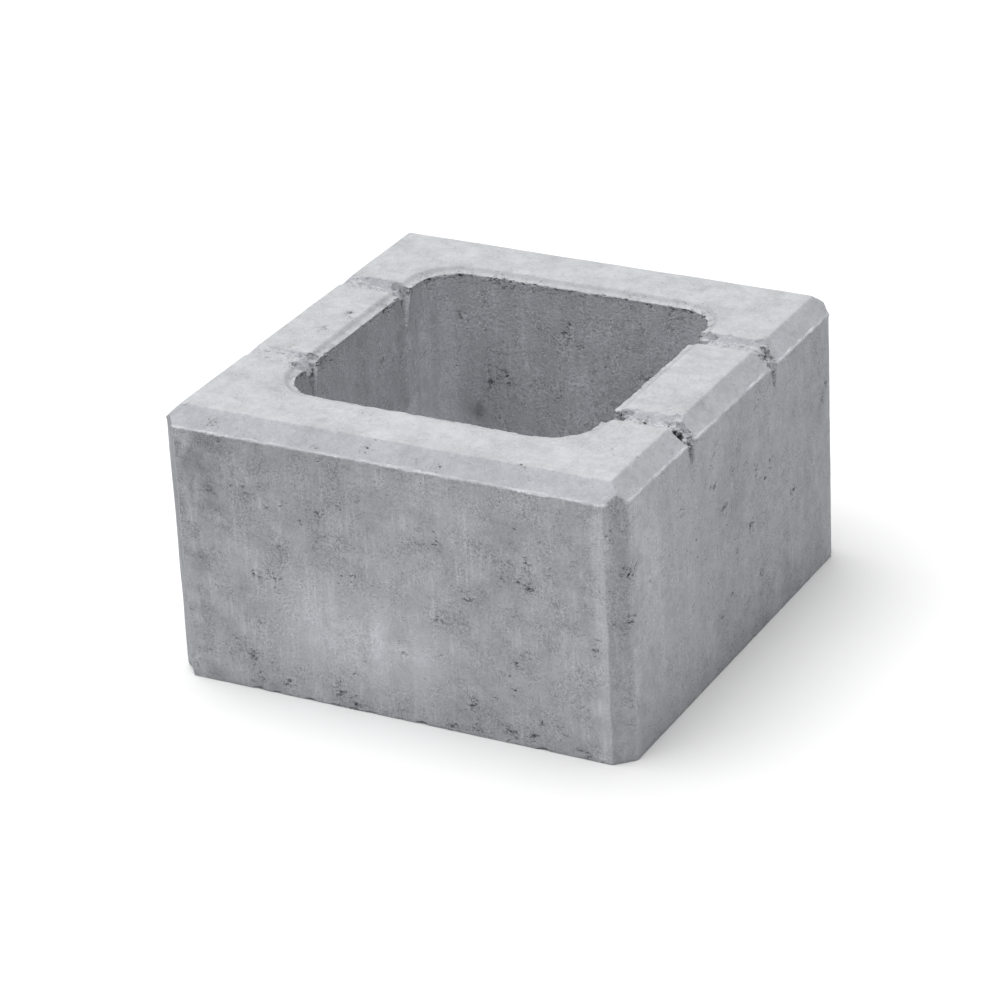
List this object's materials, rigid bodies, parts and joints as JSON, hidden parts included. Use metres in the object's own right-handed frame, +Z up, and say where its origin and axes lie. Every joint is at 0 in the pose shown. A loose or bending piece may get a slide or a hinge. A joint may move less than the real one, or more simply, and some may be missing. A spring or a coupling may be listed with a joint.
{
  "type": "hollow concrete pillar block",
  "caption": "Square hollow concrete block with a drafted through core, sloped top edges, cut corners and break-out grooves, laid in courses to make pillars and posts.",
  "frame": {"origin": "middle of the base, on the floor that the block stands on", "axes": "+Z up through the core, +X to the right across the grooved walls, -Y out of the plain front face"},
  "size_m": [0.3, 0.3, 0.175],
  "materials": {
    "concrete": "matte"
  },
  "bodies": {
    "root": {"concrete_block": "concrete"}
  },
  "joints": []
}
